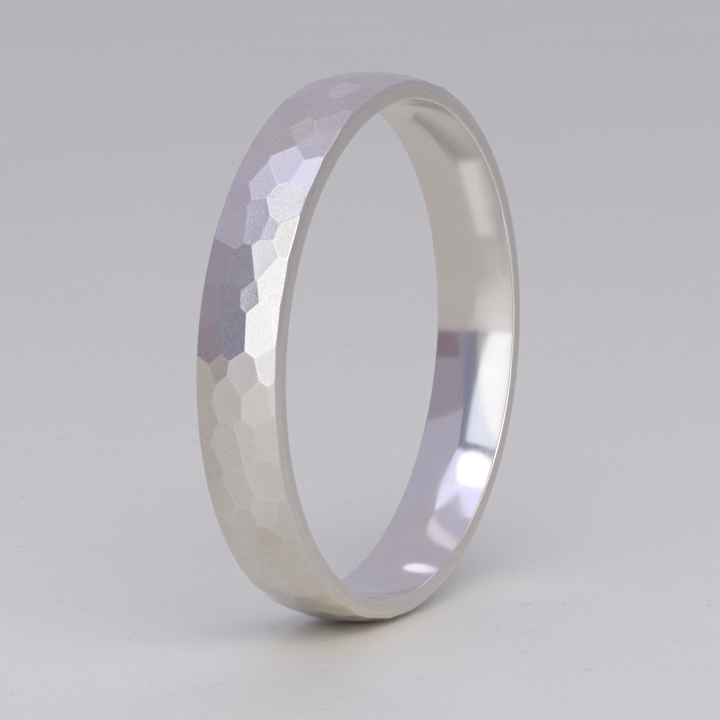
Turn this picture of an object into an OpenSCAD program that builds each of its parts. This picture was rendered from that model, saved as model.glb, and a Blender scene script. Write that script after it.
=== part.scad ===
// Hammered wedding band: one solid ring of white metal with a domed, hammered outside, flat side
// faces with a narrow bevel, and a comfort-fit bore.
// Units are mm. The ring's axis is Y and the origin is the centre of the bore. +Z is up, and the
// ring stands on its rim.

/* [Band] */
// Bore diameter over the straight middle of the band
bore_diameter = 19.1; // [14:0.1:23]
// Width of the band along the finger
width = 3.5; // [3:0.1:5]
// Thickness from the bore to the crown of the dome
wall = 1.15; // [1.1:0.05:1.6]

/* [Bore] */
// Length of the straight middle of the bore
land = 1.2; // [0.8:0.1:2]
// How much the bore's radius grows from the straight middle to a side face
comfort_rise = 0.16; // [0.1:0.01:0.2]

/* [Edges] */
// Height of the flat side face, from the bore's edge to the bevel
side_face = 0.49; // [0.35:0.01:0.55]
// Height of the bevel along the radius
bevel_height = 0.3; // [0.2:0.05:0.3]
// Depth of the bevel along the width
bevel_depth = 0.12; // [0.05:0.01:0.15]

/* [Hammered outside] */
// How much lower the dome lies at the sides than at the crown
dome_drop = 0.28; // [0.2:0.01:0.35]
// Depth of the average hammer blow below the dome
blow_depth = 0.03; // [0.02:0.005:0.04]
// Rows of blows across the band
blow_rows = 4; // [3:1:5]
// Distance along the rim between two blows of one row
blow_pitch = 1.55; // [1.4:0.05:2]
// How unevenly the blows fall, as a share of their spacing
unevenness = 0.5; // [0:0.05:0.7]
// Another number gives other uneven blows
seed = 7; // [1:1:99]

/* [Hidden] */
$fn = 180;

bore_radius = bore_diameter / 2;
crown = bore_radius + wall;               // radius at the top of the dome
edge_radius = bore_radius + comfort_rise; // radius where the bore meets a side face
bevel_radius = edge_radius + side_face;   // radius where a side face meets its bevel
flare = (width - land) / 2;               // length of the bore's flared part at each end
flare_radius = arc_radius(flare, comfort_rise);
dome_radius = arc_radius(width / 2, dome_drop);
spare = 0.1;                              // metal on the blank for the blows to take away
reach = 3 * crown;                        // a block this long covers the whole ring

// Radius of an arc that falls by drop over the length run, from where it is level.
function arc_radius(run, drop) = (run * run + drop * drop) / (2 * drop);

// Blows set out by hand on the part of the rim that faces forward. Each is [degrees from the top
// towards -X, distance across the band from its middle, depth beyond the average].
placed = [
    [34, -1.75, 0], [35.5, 0.1, 0], [36.5, -1, 0], [37, 1.3, 0],
    [42, -0.4, 0.01], [43, 0.95, -0.01], [43.5, -1.4, 0], [46.5, 0.2, -0.005],
    [51.5, -0.95, 0], [52, 1.2, 0], [56.5, 0, 0], [57.5, -0.6, -0.02],
    [58, 0.75, 0], [58.5, -1.45, -0.01],
    [64, -0.65, -0.01], [65.5, 1.05, 0], [66.5, 0.1, 0], [69, -1.4, 0],
    [72, -0.35, -0.024], [73, 0.4, -0.01], [74.5, 1.4, 0], [77.5, -1.8, -0.01],
    [79, -1, 0.005], [79.5, 0.1, 0.005], [82, 1.05, 0], [85.5, -1.4, -0.01],
    [86.5, 0.7, -0.015], [88, -0.45, 0], [89.5, 1.4, 0], [92.5, -1.85, -0.01],
    [93, 0.2, 0], [93.5, -0.95, 0], [98, 1.3, -0.01], [100.5, -1.3, 0],
    [101.5, -0.5, -0.01], [103, 0.4, 0.005], [107, 1.4, 0], [110, -1, 0.005],
    [113, 0.2, 0], [116, 1, 0], [118, -0.8, 0]
];
placed_width = 3.5; // the width that they are set out on
placed_from = 33;   // degrees where they start
placed_to = 119;    // and end

// Blows by rule on the rest of the rim, in staggered rows, each moved a little off its place.
rest = 360 - (placed_to - placed_from);
steps = floor(rest / 360 * 2 * PI * crown / blow_pitch);
step_angle = rest / steps;
row_gap = width / blow_rows;
stray = rands(-unevenness / 2, unevenness / 2, 3 * steps * blow_rows, seed);
ruled = [
    for (i = [0 : steps - 1], k = [0 : blow_rows - 1])
        let (n = 3 * (i * blow_rows + k))
            [placed_to + step_angle * (i + 0.25 + k % 2 / 2 + stray[n]),
             row_gap * (k - (blow_rows - 1) / 2 + stray[n + 1]),
             blow_depth * stray[n + 2]]
];

blows = concat([for (b = placed) [b[0], b[1] * width / placed_width, b[2]]], ruled);

// A block holding everything that lies under the flat left by one blow.
module under_flat(blow) {
    lean = asin(blow[1] / dome_radius);
    rotate([0, -blow[0], 0])
        translate([0, 0, crown - dome_radius])
            rotate([-lean, 0, 0])
                translate([-reach / 2, -reach / 2, dome_radius - blow_depth - blow[2] - reach])
                    cube(reach);
}

// One half of the blank's cross-section: X is the radius, Y is across from the middle.
module half_section() {
    difference() {
        intersection() {
            translate([crown + spare - dome_radius, 0])
                circle(dome_radius);
            union() {
                translate([bore_radius, 0])
                    square([2 * wall, land / 2]);
                intersection() {
                    translate([bore_radius + flare_radius, land / 2])
                        circle(flare_radius);
                    translate([bore_radius, land / 2])
                        square([2 * wall, flare]);
                }
            }
        }
        translate([bevel_radius, width / 2])
            rotate(-atan(bevel_depth / bevel_height))
                square(2 * wall);
    }
}

// The ring before it is hammered.
module blank() {
    rotate([90, 0, 0])
        rotate_extrude() {
            half_section();
            mirror([0, 1])
                half_section();
        }
}

module band() {
    color([0.80, 0.79, 0.80])
        intersection() {
            blank();
            intersection_for(blow = blows)
                under_flat(blow);
        }
}

band();
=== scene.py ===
import math

import bpy
import numpy as np
from mathutils import Matrix, Vector
from mathutils.geometry import delaunay_2d_cdt


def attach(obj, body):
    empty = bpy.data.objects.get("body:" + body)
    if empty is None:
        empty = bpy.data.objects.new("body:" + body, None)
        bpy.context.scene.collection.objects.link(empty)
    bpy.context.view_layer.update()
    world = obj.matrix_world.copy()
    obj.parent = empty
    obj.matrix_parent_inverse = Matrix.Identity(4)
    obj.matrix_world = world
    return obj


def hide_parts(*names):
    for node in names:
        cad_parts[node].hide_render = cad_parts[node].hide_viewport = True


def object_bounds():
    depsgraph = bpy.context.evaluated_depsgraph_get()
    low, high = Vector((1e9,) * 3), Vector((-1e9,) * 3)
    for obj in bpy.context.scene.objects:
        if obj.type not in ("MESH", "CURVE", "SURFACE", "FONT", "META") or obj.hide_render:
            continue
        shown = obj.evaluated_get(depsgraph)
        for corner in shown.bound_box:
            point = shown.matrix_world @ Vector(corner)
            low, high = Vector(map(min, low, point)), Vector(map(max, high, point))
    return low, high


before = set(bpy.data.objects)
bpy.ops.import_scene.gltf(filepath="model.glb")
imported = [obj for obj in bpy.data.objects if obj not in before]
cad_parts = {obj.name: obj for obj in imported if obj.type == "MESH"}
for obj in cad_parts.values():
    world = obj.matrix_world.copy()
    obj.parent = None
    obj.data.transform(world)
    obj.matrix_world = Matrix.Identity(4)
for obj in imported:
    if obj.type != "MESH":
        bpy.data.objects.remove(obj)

CAD_BOX = [list(corner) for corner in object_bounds()]
MM = 0.001

# ---------------------------------------------------------------- the ring's sizes, in mm
BORE = 9.55                 # radius of the middle of the bore
EDGE = 9.71                 # radius where the bore meets a side face
BORE_CURVE = 1.45           # power by which the bore swells towards its ends
BEVEL = 10.2                # radius where a side face meets its bevel
BEVEL_SLOPE = 2.5           # bevel height per depth
HALF = CAD_BOX[1][1] / MM   # half the band's width

RIDGE_SOFT = 0.0016         # rounding of the ridges between two blows
EDGE_SOFT = 0.0045          # rounding of the line between the blows and the bevel
RIDGE_WEAR = 0.004          # height between two blows' planes over which their ridge's wear fades
EDGE_WEAR = 0.03            # the same between the blows and the bevel
DISH = 0.003                # how hollow a blow is
DISH_REACH = 0.02           # height between two blows' planes over which the hollow deepens
BEVEL_FILLET = 0.09         # radius of the round between bevel and side face
BORE_FILLET = 0.07          # radius of the round between side face and bore
BEVEL_RUN, BORE_RUN = 0.3, 0.06      # how far from those corners their straight runs are taken
BEVEL_WIDEST = 0.4          # more than the bevel is wide anywhere, across the band

# What tells the CAD's hammer blows apart
OUTWARD = 0.9               # least share of a normal that points away from the ring's axis
TINY = 1e-5                 # area of a triangle too small to count
SAME_PLANE, SAME_NORMAL = 3e-4, 0.9999
FACING = 0.5                # a blow whose normal has less than this along a ray doesn't cut the ray
MISSED = 99.0               # radius that stands for no cut
ON_BEVEL = 2e-3             # how near the bevel a ridge ends that makes a cusp of a scalloped line

# How the mesh is laid out
COLUMNS = 640                     # points round the ring
PITCH = 0.16                      # between points inside a blow
SCATTER = 0.02                    # how far each of those is moved off its place, at most
ROW_HEIGHT = PITCH * math.sqrt(3) / 2
RIDGE_STEP = 0.1                  # between points along a ridge
RIDGE_MARGIN = 0.03               # from a ridge's end to its first point
RIDGE_ROWS = (0.014, 0.042)       # distances of the rows beside a ridge
SCALLOP_ROWS = (0.010, 0.045)     # distances of the rows beside a scalloped line
RIDGE_CLEAR, SCALLOP_CLEAR = 0.9, 0.6        # share of a row's distance kept from other ridges
GRID_GAP = 0.085                  # from a ridge to the nearest point of the grid
ROW_MARGIN, GRID_MARGIN = 0.02, 0.1          # from a scalloped line to those rows and that grid
HALVINGS = 40                     # to find where the blows meet the bevel
BEVEL_ROWS = (0.06, 0.16, 0.4, 0.7)          # shares of the way down a bevel
FACE_ROWS = (0.08, 0.3, 0.5, 0.7, 0.92)      # shares of the way down a side face
BORE_START, BORE_POINTS = 0.03, 20           # first step along the bore, points to its middle
RIM = 10.55                       # radius used for distances along the rim
ANNULUS = 10.7                    # the outside is triangulated on an annulus of this mean radius
CIRCLE = 2 * math.pi
rng = np.random.default_rng(11)


# ---------------------------------------------------------------- hammer blows, from the CAD
def cad_triangles(obj):
    """Corner points of a CAD node in mm, and the three corners of each of its triangles."""
    mesh = obj.data
    mesh.calc_loop_triangles()
    co = np.empty(len(mesh.vertices) * 3, np.float32)
    mesh.vertices.foreach_get("co", co)
    co = co.reshape(-1, 3)
    tri = np.array([t.vertices[:] for t in mesh.loop_triangles])
    # The imported mesh is split at its creases, so equal corners are joined again.
    points, same = np.unique(co, axis=0, return_inverse=True)
    return points.astype(float) / MM, same.reshape(-1)[tri]


def blows_of(points, tri):
    """Plane (normal, offset) of every hammer blow, and each triangle's blow or -1."""
    corner = points[tri]
    cross = np.cross(corner[:, 1] - corner[:, 0], corner[:, 2] - corner[:, 0])
    area = np.linalg.norm(cross, axis=1) / 2
    normal = cross / np.maximum(2 * area, 1e-12)[:, None]
    middle = corner.mean(1)
    radial = (normal * middle)[:, [0, 2]].sum(1) / np.hypot(middle[:, 0], middle[:, 2])
    hammered = (radial > OUTWARD) & (area > TINY)
    owner = np.full(len(tri), -1)
    planes = []
    for t in np.argsort(-area):
        if owner[t] >= 0 or not hammered[t]:
            continue
        offset = normal[t] @ corner[t, 0]
        gap = np.abs(corner @ normal[t] - offset).max(1)
        same = (gap < SAME_PLANE) & (normal @ normal[t] > SAME_NORMAL)
        owner[hammered & (owner < 0) & same] = len(planes)
        planes.append([*normal[t], offset])
    return np.array(planes), owner


def ridges_of(points, tri, owner):
    """Straight ridges between two blows, as pairs of ends."""
    sides = {}
    for t in np.nonzero(owner >= 0)[0]:
        for a, b in ((0, 1), (1, 2), (2, 0)):
            key = tuple(sorted((tri[t, a], tri[t, b])))
            sides.setdefault(key, []).append(owner[t])
    return np.array([
        [points[a], points[b]]
        for (a, b), blows in sides.items()
        if len(blows) == 2 and blows[0] != blows[1]
    ])


def cut_radii(angle, y):
    """Lowest radius at which the blows cut each ray, how much higher the next blow cuts it, the
    lowest radius with its ridges rounded, and the lowest blow."""
    den = np.cos(angle)[:, None] * planes[:, 0] + np.sin(angle)[:, None] * planes[:, 2]
    reach = (planes[:, 3] - y[:, None] * planes[:, 1]) / np.maximum(den, FACING)
    radius = np.where(den > FACING, reach, MISSED)
    lowest = radius.argmin(1)
    two = np.partition(radius, 1, axis=1)[:, :2]
    soft = two[:, 0] - RIDGE_SOFT * np.log(np.exp((two[:, :1] - radius) / RIDGE_SOFT).sum(1))
    return two[:, 0], two[:, 1] - two[:, 0], soft, lowest


def bevel_radius(y):
    """Radius of the bevel's cone at a distance across."""
    return BEVEL + (HALF - np.abs(y)) * BEVEL_SLOPE


def outside(angle, y):
    """Radius of the finished outside, how near a worn edge each point is, and its blow."""
    _, gap, soft, lowest = cut_radii(angle, y)
    hollow = soft - dish[lowest] * (1 - np.exp(-gap / DISH_REACH))
    cone = bevel_radius(y)
    low = np.minimum(hollow, cone)
    radius = low - EDGE_SOFT * np.log(
        np.exp((low - hollow) / EDGE_SOFT) + np.exp((low - cone) / EDGE_SOFT)
    )
    worn = np.maximum(np.exp(-gap / RIDGE_WEAR), np.exp(-np.abs(hollow - cone) / EDGE_WEAR))
    return radius, worn, lowest


def scallop(angle, side):
    """Distance across at which the blows meet the bevel."""
    low, high = np.full(len(angle), HALF - BEVEL_WIDEST), np.full(len(angle), HALF)
    for _ in range(HALVINGS):
        y = (low + high) / 2
        above = cut_radii(angle, side * y)[0] < bevel_radius(y)
        low, high = np.where(above, y, low), np.where(above, high, y)
    return side * (low + high) / 2


points, tri = cad_triangles(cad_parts["band"])
planes, owner = blows_of(points, tri)
ridges = ridges_of(points, tri, owner)
dish = DISH * rng.uniform(0.5, 1.3, len(planes))
shade = rng.uniform(0, 1, len(planes))


# ---------------------------------------------------------------- points of the outside
def on_strip(p):
    """(angle, y) of a point."""
    return np.stack([np.arctan2(p[..., 2], p[..., 0]), p[..., 1]], -1)


def turned(a):
    """The same angle between -180 and 180 degrees."""
    return (a + math.pi) % CIRCLE - math.pi


# Columns, each moved onto the end of a ridge where one is near, so the scallops keep their cusps.
columns = -math.pi + (np.arange(COLUMNS) + 0.5) * CIRCLE / COLUMNS
ends = on_strip(ridges).reshape(-1, 2)
radius_of_ends = np.hypot(ridges[..., 0], ridges[..., 2]).reshape(-1)
on_bevel = np.abs(radius_of_ends - bevel_radius(ends[:, 1])) < ON_BEVEL
taken = set()
for a in ends[on_bevel, 0]:
    k = int(np.abs(turned(columns - a)).argmin())
    if k not in taken:
        columns[k] = a
        taken.add(k)
columns = np.sort(columns)
scallops = {side: scallop(columns, side) for side in (1, -1)}

flat = []      # (angle, y) of all points
edges = []     # constrained edges between them


def add(rows):
    """Index of the first of the points that are added."""
    start = len(flat)
    flat.extend(rows)
    return start


for side in (1, -1):
    start = add(np.stack([columns, scallops[side]], 1))
    edges += [(start + k, start + (k + 1) % COLUMNS) for k in range(COLUMNS)]
corner_index = {}
strip_ridges = []      # the same ridges, as (along the rim, across)
for a, b in ridges:
    p, q = on_strip(a), on_strip(b)
    strip_ridges.append([[p[0] * RIM, p[1]], [p[0] * RIM + turned(q[0] - p[0]) * RIM, q[1]]])
strip_ridges = np.array(strip_ridges)


def distance_to(p, index):
    """Distance of points p (along, across) to ridge `index`."""
    a, b = strip_ridges[index]
    v = b - a
    w = p - a
    w[:, 0] = turned(w[:, 0] / RIM) * RIM
    t = np.clip((w @ v) / max(v @ v, 1e-12), 0, 1)
    return np.linalg.norm(w - t[:, None] * v, axis=1)


def corner_of(point):
    """Index of a shared ridge end."""
    key = tuple(np.round(point, 4))
    if key not in corner_index:
        corner_index[key] = add([on_strip(point)])
    return corner_index[key]


beside, beside_ridge, beside_offset = [], [], []
for i, (a, b) in enumerate(ridges):
    start, end = strip_ridges[i]
    length = np.linalg.norm(end - start)
    along = (end - start) / max(length, 1e-9)
    across = np.array([-along[1], along[0]])
    stations = []
    if length > RIDGE_STEP:
        inner = max(0, int(round((length - 2 * RIDGE_MARGIN) / RIDGE_STEP)) - 1)
        stations = np.linspace(RIDGE_MARGIN, length - RIDGE_MARGIN, inner + 2)
    elif length > RIDGE_MARGIN:
        stations = [length / 2]
    chain = [corner_of(a)]
    for s in stations:
        p = a + (b - a) * (s / length)
        chain.append(add([on_strip(p)]))
        here = on_strip(p) * (RIM, 1)
        for row in RIDGE_ROWS:
            for sign in (1, -1):
                beside.append(here + across * row * sign)
                beside_ridge.append(i)
                beside_offset.append(row)
    chain.append(corner_of(b))
    edges += list(zip(chain[:-1], chain[1:]))

beside = np.array(beside)
beside_ridge = np.array(beside_ridge)
beside_offset = np.array(beside_offset)
keep = np.ones(len(beside), bool)
rows = int(2 * HALF / ROW_HEIGHT) + 1
steps = int(round(CIRCLE * RIM / PITCH))
grid = np.array([
    [-math.pi * RIM + (i + 0.5 * (j % 2) + 0.25) * CIRCLE * RIM / steps, (j - rows / 2) * ROW_HEIGHT]
    for i in range(steps) for j in range(rows + 1)
])
grid += rng.uniform(-SCATTER, SCATTER, grid.shape)
far = np.ones(len(grid), bool)
for i in range(len(ridges)):
    other = beside_ridge != i
    keep &= ~other | (distance_to(beside, i) > RIDGE_CLEAR * beside_offset)
    far &= distance_to(grid, i) > GRID_GAP


def inside_scallop(p, margin):
    """Which of the points (along, across) lie between the scalloped lines, by this margin."""
    angle = turned(p[:, 0] / RIM)
    known = np.r_[columns[-1] - CIRCLE, columns, columns[0] + CIRCLE]
    ok = np.ones(len(p), bool)
    for side in (1, -1):
        line = np.interp(angle, known, np.r_[scallops[side][-1], scallops[side], scallops[side][0]])
        ok &= side * (line - p[:, 1]) > margin
    return ok


beside = beside[keep & inside_scallop(beside, ROW_MARGIN)]
grid = grid[far & inside_scallop(grid, GRID_MARGIN)]
add(beside / (RIM, 1))
add(grid / (RIM, 1))
for side in (1, -1):
    for row in SCALLOP_ROWS:
        line = np.stack([columns * RIM, scallops[side] - side * row], 1)
        free = np.ones(len(line), bool)
        for i in range(len(ridges)):
            free &= distance_to(line, i) > SCALLOP_CLEAR * row
        add(line[free] / (RIM, 1))

flat = np.array(flat)
uv = (ANNULUS + flat[:, 1])[:, None] * np.stack([np.cos(flat[:, 0]), np.sin(flat[:, 0])], 1)
out_verts, _, out_faces, came_from, _, _ = delaunay_2d_cdt([Vector(p) for p in uv], edges, [], 0, 1e-4)
out_uv = np.array([v[:] for v in out_verts])
out_faces = np.array(out_faces)
now = {}      # index after the triangulation of each point that went in
for i, sources in enumerate(came_from):
    for s in sources:
        now[s] = i

# Only triangles between the two scalloped lines are part of the outside.
centre = out_uv[out_faces].mean(1)
sector = np.searchsorted(columns, np.arctan2(centre[:, 1], centre[:, 0])) - 1
part = np.ones(len(out_faces), bool)
for block, side in enumerate((1, -1)):
    line = uv[block * COLUMNS:(block + 1) * COLUMNS]
    a, b = line[sector % COLUMNS], line[(sector + 1) % COLUMNS]
    left = (b - a)[:, 0] * (centre - a)[:, 1] - (b - a)[:, 1] * (centre - a)[:, 0]
    part &= side * left > 0
out_faces = out_faces[part]

angle = np.arctan2(out_uv[:, 1], out_uv[:, 0])
y = np.hypot(out_uv[:, 0], out_uv[:, 1]) - ANNULUS
radius, wear, lowest = outside(angle, y)
verts = np.stack([radius * np.cos(angle), y, radius * np.sin(angle)], 1)
blow_shade = shade[lowest]


# ---------------------------------------------------------------- bevels, side faces and bore
def fillet(before, corner, after, size, count):
    """Points of a round of radius size in the corner between two straight runs."""
    u = (before - corner) / np.linalg.norm(before - corner)
    v = (after - corner) / np.linalg.norm(after - corner)
    opening = math.acos(np.clip(u @ v, -1, 1))
    reach = size / math.tan(opening / 2)
    start, end = corner + u * reach, corner + v * reach
    middle = corner + (u + v) / np.linalg.norm(u + v) * size / math.sin(opening / 2)
    turn = math.pi - opening
    e1 = (start - middle) / size
    e2 = end - middle - e1 * ((end - middle) @ e1)
    e2 /= np.linalg.norm(e2)
    return [middle + size * (math.cos(t) * e1 + math.sin(t) * e2) for t in np.linspace(0, turn, count)]


def bore_radius(y):
    """The bore swells from its middle to both side faces."""
    return BORE + (EDGE - BORE) * (np.abs(y) / HALF) ** BORE_CURVE


# How worn each point of the profile is, from 0 to 1
BEVEL_WEAR = (0.5, 0.8, 1, 0.8, 0.5)                     # round between bevel and side face
FACE_WEAR = (0.15, 0, 0, 0, 0.15)                        # side face
BORE_WEAR = (0.4, 0.7, 0.9, 1, 1, 0.9, 0.7, 0.4)         # round between side face and bore
BORE_START_WEAR = 0.1                                    # first point of the bore

# Half the profile as (radius, across), from the bevel to just before the middle of the bore.
bevel_end = np.array([BEVEL, HALF])
bevel_up = np.array([BEVEL + BEVEL_RUN, HALF - BEVEL_RUN / BEVEL_SLOPE])
bore_end = np.array([EDGE, HALF])
bore_in = np.array([bore_radius(HALF - BORE_RUN), HALF - BORE_RUN])
upper = fillet(bevel_up, bevel_end, bore_end, BEVEL_FILLET, len(BEVEL_WEAR))
lower = fillet(bevel_end, bore_end, bore_in, BORE_FILLET, len(BORE_WEAR))
face = [upper[-1] + (lower[0] - upper[-1]) * t for t in FACE_ROWS]
bore_places = np.linspace(lower[-1][1] - BORE_START, 0, BORE_POINTS)[:-1]
bore = [np.array([bore_radius(v), v]) for v in bore_places]
half_profile = upper + face + lower + bore
half_wear = [*BEVEL_WEAR, *FACE_WEAR, *BORE_WEAR, BORE_START_WEAR, *[0] * (len(bore) - 1)]
profile = [(*p, w) for p, w in zip(half_profile, half_wear)]
profile = profile + [(BORE, 0.0, 0.0)] + [(r, -v, w) for r, v, w in profile[::-1]]

new_verts, new_wear = [], []
count = len(verts)
table = []      # rows of point indices, from one scalloped line over the bore to the other


def add_row(r, v, w):
    """One more row of points round the ring."""
    global count
    new_verts.append(np.stack([r * np.cos(columns), v, r * np.sin(columns)], 1))
    new_wear.append(w)
    table.append(np.arange(count, count + COLUMNS))
    count += COLUMNS


table.append(np.array([now[k] for k in range(COLUMNS)]))
for t in BEVEL_ROWS:
    v = scallops[1] + (upper[0][1] - scallops[1]) * t
    r, w, _ = outside(columns, v)
    add_row(r, v, w)
for r, v, w in profile:
    add_row(np.full(COLUMNS, r), np.full(COLUMNS, v), np.full(COLUMNS, w))
for t in BEVEL_ROWS[::-1]:
    v = scallops[-1] + (-upper[0][1] - scallops[-1]) * t
    r, w, _ = outside(columns, v)
    add_row(r, v, w)
table.append(np.array([now[COLUMNS + k] for k in range(COLUMNS)]))

quads, quad_kind = [], []
# So many rows are satin at each end; the rest, which is the bore, is polished.
SIDE_ROWS = len(BEVEL_ROWS) + len(upper) + len(face) + len(lower) // 2
for j in range(len(table) - 1):
    a, b = table[j], table[j + 1]
    quads.append(np.stack([a, b, np.roll(b, -1), np.roll(a, -1)], 1))
    on_side = j < SIDE_ROWS or j >= len(table) - 1 - SIDE_ROWS
    quad_kind += [1 if on_side else 2] * COLUMNS
quads = np.concatenate(quads)

verts = np.concatenate([verts, *new_verts])
wear = np.concatenate([wear, *new_wear])
blow_shade = np.concatenate([blow_shade, np.full(len(verts) - len(blow_shade), 0.5)])

used = np.zeros(len(verts), bool)
used[out_faces.ravel()] = True
used[quads.ravel()] = True
new_index = np.cumsum(used) - 1
mesh = bpy.data.meshes.new("hammered_band")
mesh.from_pydata(
    (verts[used] * MM).tolist(), [],
    new_index[out_faces].tolist() + new_index[quads].tolist(),
)
mesh.polygons.foreach_set("material_index", [0] * len(out_faces) + quad_kind)
mesh.polygons.foreach_set("use_smooth", [True] * len(mesh.polygons))
for name, values in (("wear", wear[used]), ("blow", blow_shade[used])):
    attribute = mesh.attributes.new(name, "FLOAT", "POINT")
    attribute.data.foreach_set("value", values.astype(np.float32))
mesh.validate()
mesh.update()
band = bpy.data.objects.new("hammered_band", mesh)
bpy.context.scene.collection.objects.link(band)
print(f"band: {len(mesh.vertices)} vertices, {len(out_faces) + 2 * len(quads)} triangles,",
      f"{len(planes)} blows, {len(ridges)} ridges")


# ---------------------------------------------------------------- materials
class Nodes:
    """Short way to make and join the nodes of one material."""

    def __init__(self, name):
        self.material = bpy.data.materials.new(name)
        self.material.use_nodes = True
        self.tree = self.material.node_tree
        self.tree.nodes.clear()
        output = self.tree.nodes.new("ShaderNodeOutputMaterial")
        self.shader = self.tree.nodes.new("ShaderNodeBsdfPrincipled")
        self.tree.links.new(self.shader.outputs[0], output.inputs[0])

    def put(self, socket, value):
        if isinstance(value, bpy.types.NodeSocket):
            self.tree.links.new(value, socket)
        else:
            socket.default_value = value

    def node(self, kind, inputs=(), **settings):
        n = self.tree.nodes.new(kind)
        for k, v in settings.items():
            setattr(n, k, v)
        for k, v in dict(inputs).items():
            self.put(n.inputs[k], v)
        return n

    def math(self, operation, a, b=0.0):
        return self.node("ShaderNodeMath", {0: a, 1: b}, operation=operation).outputs[0]

    def length(self, a, b):
        """Length of the vector (a, b)."""
        squares = [self.math("MULTIPLY", value, value) for value in (a, b)]
        return self.math("SQRT", self.math("ADD", *squares))

    def attribute(self, name):
        n = self.node("ShaderNodeAttribute", attribute_name=name, attribute_type="GEOMETRY")
        return n.outputs["Fac"]

    def coordinates(self):
        return self.node("ShaderNodeTexCoord").outputs["Object"]

    def noise(self, vector, scale, detail=2.0, roughness=0.5):
        inputs = {"Vector": vector, "Scale": scale, "Detail": detail, "Roughness": roughness}
        return self.node("ShaderNodeTexNoise", inputs).outputs["Fac"]

    def spread(self, value, low, high, new_low, new_high):
        """Value from low..high mapped onto new_low..new_high."""
        inputs = {0: value, 1: low, 2: high, 3: new_low, 4: new_high}
        return self.node("ShaderNodeMapRange", inputs).outputs[0]

    def mix(self, amount, a, b):
        n = self.node("ShaderNodeMix", data_type="RGBA")
        for socket, value in ((n.inputs[0], amount), (n.inputs[6], a), (n.inputs[7], b)):
            self.put(socket, value)
        return n.outputs[2]

    def bump(self, height, distance, strength=1.0):
        inputs = {"Height": height, "Distance": distance, "Strength": strength}
        return self.node("ShaderNodeBump", inputs).outputs[0]

    def split(self):
        """X, Y and Z of the place on the object."""
        if not hasattr(self, "parts"):
            self.parts = self.node("ShaderNodeSeparateXYZ", {0: self.coordinates()}).outputs
        return self.parts

    def round_lines(self, across, fineness, length):
        """Noise drawn out round the ring: fine in the direction `across`, long along the rim."""
        x, y, z = self.split()
        r = self.length(x, z)
        vector = self.node("ShaderNodeCombineXYZ", {
            0: self.math("MULTIPLY", r if across == "radius" else y, fineness),
            1: self.math("MULTIPLY", self.math("DIVIDE", x, r), length),
            2: self.math("MULTIPLY", self.math("DIVIDE", z, r), length),
        }).outputs[0]
        return self.noise(vector, 1.0, 3.0, 0.6)


METAL = (0.86, 0.815, 0.76, 1)
METAL_DEEP = (0.77, 0.725, 0.67, 1)
METAL_BRIGHT = (0.91, 0.875, 0.83, 1)
GRAIN_DEEP = (0.725, 0.68, 0.625, 1)
GRAIN_LIGHT = (0.905, 0.86, 0.805, 1)
SATIN = (0.76, 0.72, 0.685, 1)
SATIN_DEEP = (0.67, 0.635, 0.60, 1)
SATIN_BRIGHT = (0.84, 0.81, 0.78, 1)
# Heights of the bumps, in metres
GRAIN_HEIGHT = 0.0000027
LINE_HEIGHT = 0.0000012
POLISH_HEIGHT = 0.0000002
FIBRE_HEIGHT = 0.00003


def hammered_metal():
    """Matte outside: fine grain, a tone of its own for each blow, worn ridges."""
    n = Nodes("hammered_white_metal")
    place = n.coordinates()
    grain = n.noise(place, 15000, 3.0, 0.65)      # the tooth of the matte surface
    fine = n.noise(place, 42000, 1.0, 0.5)
    cloud = n.noise(place, 900, 3.0, 0.55)        # a slow change of tone, from handling
    wear, blow = n.attribute("wear"), n.attribute("blow")
    tone = n.mix(n.spread(grain, 0.35, 0.65, 0, 1), GRAIN_DEEP, GRAIN_LIGHT)
    tone = n.mix(n.spread(cloud, 0.3, 0.75, 0, 0.3), tone, METAL_DEEP)
    tone = n.mix(n.spread(blow, 0, 1, 0, 0.25), tone, METAL_BRIGHT)
    tone = n.mix(n.math("MULTIPLY", wear, 0.55), tone, METAL_BRIGHT)
    n.put(n.shader.inputs["Base Color"], tone)
    rough = n.math("ADD", n.spread(grain, 0.3, 0.7, 0.14, 0.22), n.spread(blow, 0, 1, -0.02, 0.03))
    rough = n.math("ADD", rough, n.spread(cloud, 0.3, 0.7, -0.02, 0.02))
    rough = n.math("SUBTRACT", rough, n.math("MULTIPLY", wear, 0.05))
    n.put(n.shader.inputs["Roughness"], rough)
    height = n.math("ADD", grain, n.math("MULTIPLY", fine, 0.35))
    n.put(n.shader.inputs["Normal"], n.bump(height, GRAIN_HEIGHT))
    n.put(n.shader.inputs["Metallic"], 1.0)
    return n.material


def satin_metal():
    """Bevels and side faces: fine lines round the ring, worn edges."""
    n = Nodes("satin_white_metal")
    lines = n.round_lines("radius", 42000, 14)
    broad = n.round_lines("radius", 9000, 5)
    cloud = n.noise(n.coordinates(), 700, 3.0, 0.55)
    wear = n.attribute("wear")
    tone = n.mix(n.spread(lines, 0.3, 0.7, 0, 1), SATIN_DEEP, SATIN)
    tone = n.mix(n.spread(cloud, 0.3, 0.75, 0, 0.3), tone, SATIN_DEEP)
    tone = n.mix(n.math("MULTIPLY", wear, 0.5), tone, SATIN_BRIGHT)
    n.put(n.shader.inputs["Base Color"], tone)
    rough = n.math("ADD", n.spread(lines, 0.3, 0.7, 0.2, 0.3), n.spread(cloud, 0.3, 0.7, -0.03, 0.03))
    rough = n.math("SUBTRACT", rough, n.math("MULTIPLY", wear, 0.08))
    n.put(n.shader.inputs["Roughness"], rough)
    height = n.math("ADD", lines, n.math("MULTIPLY", broad, 0.6))
    n.put(n.shader.inputs["Normal"], n.bump(height, LINE_HEIGHT))
    n.put(n.shader.inputs["Metallic"], 1.0)
    return n.material


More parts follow.
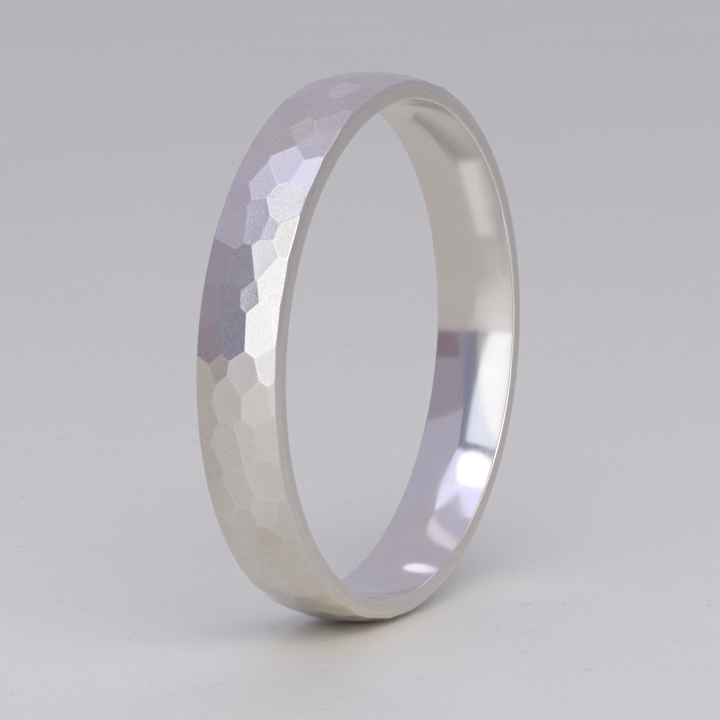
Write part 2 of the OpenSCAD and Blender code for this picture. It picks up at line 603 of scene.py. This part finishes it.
def polished_metal():
    """Bore: polished, with faint lines round it."""
    n = Nodes("polished_white_metal")
    lines = n.round_lines("y", 30000, 9)
    cloud = n.noise(n.coordinates(), 500, 3.0, 0.5)
    wear = n.attribute("wear")
    tone = n.mix(n.spread(lines, 0.3, 0.7, 0, 1), METAL, METAL_BRIGHT)
    tone = n.mix(n.spread(cloud, 0.3, 0.75, 0, 0.25), tone, METAL_DEEP)
    n.put(n.shader.inputs["Base Color"], tone)
    rough = n.math("ADD", n.spread(lines, 0.3, 0.7, 0.06, 0.11), n.spread(cloud, 0.3, 0.7, 0, 0.03))
    rough = n.math("ADD", rough, n.math("MULTIPLY", wear, 0.05))
    n.put(n.shader.inputs["Roughness"], rough)
    n.put(n.shader.inputs["Normal"], n.bump(lines, POLISH_HEIGHT))
    n.put(n.shader.inputs["Metallic"], 1.0)
    return n.material


for make in (hammered_metal, satin_metal, polished_metal):
    mesh.materials.append(make())

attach(band, "root")
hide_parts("band")


# ---------------------------------------------------------------- floor
FLOOR = CAD_BOX[0][2]                      # height of the floor
FLOOR_SIZE, FLOOR_CELLS = 3.0, 60          # half its side, and how many cells a side has
PAPER, PAPER_PALE = (0.67, 0.665, 0.67, 1), (0.71, 0.705, 0.71, 1)
PAPER_CLOUD = (0.66, 0.655, 0.66, 1)
# Painted warm light, for the oval round the ring's foot
WARM_LIGHT_TINT = (0.79, 0.73, 0.625, 1)
FLECK = (0.45, 0.42, 0.39, 1)
GLOW_SHIFT, GLOW_SIZE = (0.003, 0.001), (0.007, 0.0035)      # the warm oval, along X and Y


def make_floor():
    """A pale sheet of paper with fibres, clouds, a few flecks and a painted oval of warm light round the
    ring's foot.
    """
    axis = np.linspace(-FLOOR_SIZE, FLOOR_SIZE, FLOOR_CELLS + 1)
    corners = [(x, y, FLOOR) for y in axis for x in axis]
    row = FLOOR_CELLS + 1
    faces = [
        (j * row + i, j * row + i + 1, (j + 1) * row + i + 1, (j + 1) * row + i)
        for j in range(FLOOR_CELLS) for i in range(FLOOR_CELLS)
    ]
    data = bpy.data.meshes.new("floor")
    data.from_pydata(corners, [], faces)
    floor = bpy.data.objects.new("floor", data)
    bpy.context.scene.collection.objects.link(floor)
    n = Nodes("pale_paper")
    place = n.coordinates()
    fibre = n.noise(place, 2500, 4.0, 0.6)
    cloud = n.noise(place, 60, 2.0, 0.5)
    tone = n.mix(n.spread(fibre, 0.3, 0.7, 0, 1), PAPER, PAPER_PALE)
    tone = n.mix(n.spread(cloud, 0.3, 0.7, 0, 0.4), tone, PAPER_CLOUD)
    # Painted light: the warm light the metal throws on the paper round the ring's foot is painted here
    # as an oval tint.
    x, y = (
        n.math("MULTIPLY", n.math("ADD", value, shift), 1 / size)
        for value, shift, size in zip(n.split(), GLOW_SHIFT, GLOW_SIZE)
    )
    tone = n.mix(n.spread(n.length(x, y), 0.1, 1, 0.62, 0), tone, WARM_LIGHT_TINT)
    # A few dark fibres, drawn out along X.
    along = n.node("ShaderNodeMapping", {"Vector": place, "Scale": (0.45, 1, 1)}).outputs[0]
    fleck = n.spread(n.noise(along, 2200, 2.0, 0.6), 0.68, 0.74, 0, 0.4)
    tone = n.mix(fleck, tone, FLECK)
    n.put(n.shader.inputs["Base Color"], tone)
    n.put(n.shader.inputs["Roughness"], 0.4)
    n.put(n.shader.inputs["Specular IOR Level"], 0.6)
    n.put(n.shader.inputs["Normal"], n.bump(fibre, FIBRE_HEIGHT, 0.6))
    data.materials.append(n.material)


make_floor()


# ---------------------------------------------------------------- light
def heading(azimuth, elevation):
    """Direction seen from the ring: azimuth from -X towards +Y, elevation above the floor."""
    a, e = math.radians(azimuth), math.radians(elevation)
    return Vector((-math.cos(a) * math.cos(e), math.sin(a) * math.cos(e), math.sin(e)))


def facing_ring(obj, azimuth, elevation, distance, roll=0.0):
    """Puts obj at that heading with its -Z axis to the ring and its Y axis up."""
    d = heading(azimuth, elevation)
    side = Vector((0, 0, 1)).cross(d).normalized()
    turn = Matrix((side, d.cross(side), d)).transposed().to_4x4()
    rolled = Matrix.Rotation(math.radians(roll), 4, "Z")
    obj.matrix_world = Matrix.Translation(d * distance) @ turn @ rolled


def half_span(distance, degrees):
    """Half the length that spans so many degrees at a distance."""
    return distance * math.tan(math.radians(degrees / 2))


def softbox(name, azimuth, elevation, width, height, distance, colour, radiance, roll=0.0):
    """A soft light that spans width by height degrees and adds its radiance to what a mirror shows.
    It is oval if its name starts with lamp."""
    oval = name.startswith("lamp")
    light = bpy.data.lights.new(name, "AREA")
    light.shape = "ELLIPSE" if oval else "RECTANGLE"
    light.size, light.size_y = 2 * half_span(distance, width), 2 * half_span(distance, height)
    area = light.size * light.size_y * (math.pi / 4 if oval else 1)
    light.color = colour
    light.energy = radiance * math.pi * area
    obj = bpy.data.objects.new(name, light)
    bpy.context.scene.collection.objects.link(obj)
    facing_ring(obj, azimuth, elevation, distance, roll)
    obj.visible_camera = False
    return obj


def glowing(name, corners, faces, colour):
    """Flat faces that only reflections see, so that bright metal has something dim to show."""
    data = bpy.data.meshes.new(name)
    data.from_pydata(corners, [], faces)
    obj = bpy.data.objects.new(name, data)
    bpy.context.scene.collection.objects.link(obj)
    material = bpy.data.materials.new(name)
    material.use_nodes = True
    tree = material.node_tree
    tree.nodes.clear()
    glow = tree.nodes.new("ShaderNodeEmission")
    glow.inputs[0].default_value = (*colour, 1)
    output = tree.nodes.new("ShaderNodeOutputMaterial")
    tree.links.new(glow.outputs[0], output.inputs[0])
    data.materials.append(material)
    obj.visible_camera = obj.visible_diffuse = obj.visible_shadow = False
    return obj


def card(name, azimuth, elevation, width, height, distance, colour):
    """A card that stands facing the ring and spans width by height degrees."""
    w, h = half_span(distance, width), half_span(distance, height)
    obj = glowing(name, [(-w, -h, 0), (w, -h, 0), (w, h, 0), (-w, h, 0)], [(0, 1, 2, 3)], colour)
    facing_ring(obj, azimuth, elevation, distance)


def grown(outline, amount):
    """The outline of a convex shape, drawn against the clock, moved outwards by amount."""
    points = np.array(outline, float)
    along = np.roll(points, -1, 0) - points
    along /= np.linalg.norm(along, axis=1)[:, None]
    outward = np.stack([along[:, 1], -along[:, 0]], 1)
    before = np.roll(outward, 1, 0)
    return points + amount * (outward + before) / (1 + (outward * before).sum(1))[:, None]


def floor_sheet(name, outline, soft, height, colour):
    """A glowing sheet lying on the floor, seen only from above and only by reflections, that fades out
    over `soft` mm: painted shade or painted light of the floor.
    """
    sides = len(outline)
    z = FLOOR + height * MM
    corners = np.concatenate([grown(outline, -soft / 2), grown(outline, soft / 2)])
    rim = [(i, i + sides, (i + 1) % sides + sides, (i + 1) % sides) for i in range(sides)]
    obj = glowing(name, [(x * MM, y * MM, z) for x, y in corners], [tuple(range(sides)), *rim], colour)
    cover = obj.data.attributes.new("cover", "FLOAT", "POINT")
    cover.data.foreach_set("value", [1.0] * sides + [0.0] * sides)
    tree = obj.data.materials[0].node_tree
    kinds = ("OUTPUT_MATERIAL", "EMISSION")
    output, glow = (next(node for node in tree.nodes if node.type == kind) for kind in kinds)
    clear = tree.nodes.new("ShaderNodeBsdfTransparent").outputs[0]
    shown = tree.nodes.new("ShaderNodeAttribute")
    shown.attribute_name = "cover"
    fade, side = tree.nodes.new("ShaderNodeMixShader"), tree.nodes.new("ShaderNodeMixShader")
    underside = tree.nodes.new("ShaderNodeNewGeometry").outputs["Backfacing"]
    for source, socket in (
        (shown.outputs["Fac"], fade.inputs[0]),
        (clear, fade.inputs[1]),
        (glow.outputs[0], fade.inputs[2]),
        (underside, side.inputs[0]),
        (fade.outputs[0], side.inputs[1]),
        (clear, side.inputs[2]),
        (side.outputs[0], output.inputs[0]),
    ):
        tree.links.new(source, socket)


# name, azimuth, elevation, width, height (degrees), distance (m), colour, radiance, roll if any
SOFTBOXES = [
    ("window", -12, 24, 61, 62, 0.30, (0.83, 0.9, 1.0), 0.75),
    ("lamp_front", 32, 60, 10, 17, 0.28, (0.75, 0.8, 1.0), 1.0, 22),
    ("lamp_back", 57, 60.5, 33, 14, 0.28, (0.66, 0.66, 0.96), 0.58, -28),
    ("overhead", 10, 77, 30, 20, 0.45, (0.62, 0.64, 0.95), 0.65),
    ("lamp_high", 122, 66, 18, 6, 0.30, (0.95, 0.93, 0.95), 0.25),
    ("lamp_far", 150, 45, 4, 9, 0.30, (0.83, 0.77, 1.0), 0.72),
    ("key", -64, 34, 56, 50, 0.60, (1.0, 0.92, 0.8), 0.6),
    ("front_glow", -40, 50, 34, 30, 0.18, (1.0, 0.93, 0.83), 0.6),
    ("back_lamp", -100, 74, 24, 20, 0.45, (1.0, 1.0, 1.0), 0.6),
]
# The same, for lights that reach only the floor and so shape its shading and shadows.
FLOOR_LIGHTS = [
    ("floor_front", -40, 38, 60, 60, 1.5, (1.0, 0.99, 0.985), 1.62),
    ("floor_near", -10, 50, 60, 60, 0.15, (1.0, 0.985, 0.975), 0.5),
    ("floor_key", -64, 34, 56, 50, 0.60, (1.0, 0.92, 0.8), 0.65),
    ("floor_glow", -40, 50, 34, 30, 0.18, (1.0, 0.93, 0.83), 0.5),
    ("floor_lamp", -100, 74, 24, 20, 0.45, (1.0, 1.0, 1.0), 0.7),
    ("floor_back", 152, 35, 60, 60, 0.8, (1.0, 0.985, 1.0), 1.0),
]
# name, azimuth, elevation, width, height (degrees), distance (m), colour
CARDS = [
    ("window_edge", 27.5, 24, 15, 53, 0.36, (0.24, 0.255, 0.36)),
    ("dark_corner", 43, 4, 13, 10, 0.50, (0.25, 0.19, 0.24)),
    ("dim_wall", 62, 16, 60, 34, 0.60, (0.33, 0.305, 0.395)),
    ("lilac_corner", 58, 46, 54, 30, 0.66, (0.45, 0.44, 0.57)),
    ("lilac_top", 112, 79, 44, 26, 0.65, (0.52, 0.51, 0.66)),
    ("lilac_wall", 130, 40, 100, 76, 0.70, (0.45, 0.44, 0.535)),
    ("front_dim", -132, 13, 78, 36, 0.90, (0.435, 0.44, 0.5)),
]
# Painted shade and painted light of the floor round the ring, for the metal to reflect: a dimmer floor
# to the left, the ring's shadow behind it, the light that falls through the bore, and shade under the
# front of the band.
# name, outline (mm, against the clock seen from above), soft border, height above the floor (mm), colour
SHEETS = [
    ("dim_sheet", [(-13, 5), (45, 5.5), (172, 246), (-243, 176)], 6, 0.2, (0.488, 0.468, 0.48)),
    ("shade_sheet", [(8, 4.4), (24.8, 12.6), (23.2, 15.4), (7, 6.1)], 1.6, 0.3, (0.34, 0.32, 0.325)),
    ("light_sheet", [(-3.5, 3.6), (7, 3.6), (7, 5.6), (-3.5, 5.6)], 0.9, 0.4, (0.7, 0.69, 0.695)),
    ("foot_shade_sheet", [(-11.5, -1.5), (-6, -1.5), (-6, 4), (-11.5, 4)], 2.5, 0.3, (0.51, 0.492, 0.485)),
]
ROOM = (0.485, 0.475, 0.485)

for box in SOFTBOXES:
    softbox(*box)
for box in FLOOR_LIGHTS:
    softbox(*box).visible_glossy = False
for dim in CARDS:
    card(*dim)
for sheet in SHEETS:
    floor_sheet(*sheet)
world = bpy.data.worlds.new("room")
bpy.context.scene.world = world
world.use_nodes = True
world.cycles_visibility.diffuse = False      # FLOOR_LIGHTS stand in for it
world.node_tree.nodes["Background"].inputs[0].default_value = (*ROOM, 1)
world.node_tree.nodes["Background"].inputs[1].default_value = 1.0

# ---------------------------------------------------------------- camera
AZIMUTH, ELEVATION = math.radians(-62.467), math.radians(8.889)
DISTANCE, LEFT, DOWN = 181.4, 0.223, 0.508      # mm from the ring's centre
back = Vector((
    math.sin(AZIMUTH) * math.cos(ELEVATION),
    -math.cos(AZIMUTH) * math.cos(ELEVATION),
    math.sin(ELEVATION),
))
right = Vector((math.cos(AZIMUTH), math.sin(AZIMUTH), 0))
up = back.cross(right)
lens = bpy.data.cameras.new("camera")
lens.lens, lens.sensor_width = 233.2, 36.0
lens.clip_start, lens.clip_end = 0.01, 10
camera = bpy.data.objects.new("camera", lens)
bpy.context.scene.collection.objects.link(camera)
place = (back * DISTANCE - right * LEFT - up * DOWN) * MM
camera.matrix_world = Matrix.Translation(place) @ Matrix((right, up, back)).transposed().to_4x4()
bpy.context.scene.camera = camera
bpy.context.scene.view_settings.view_transform = "Standard"
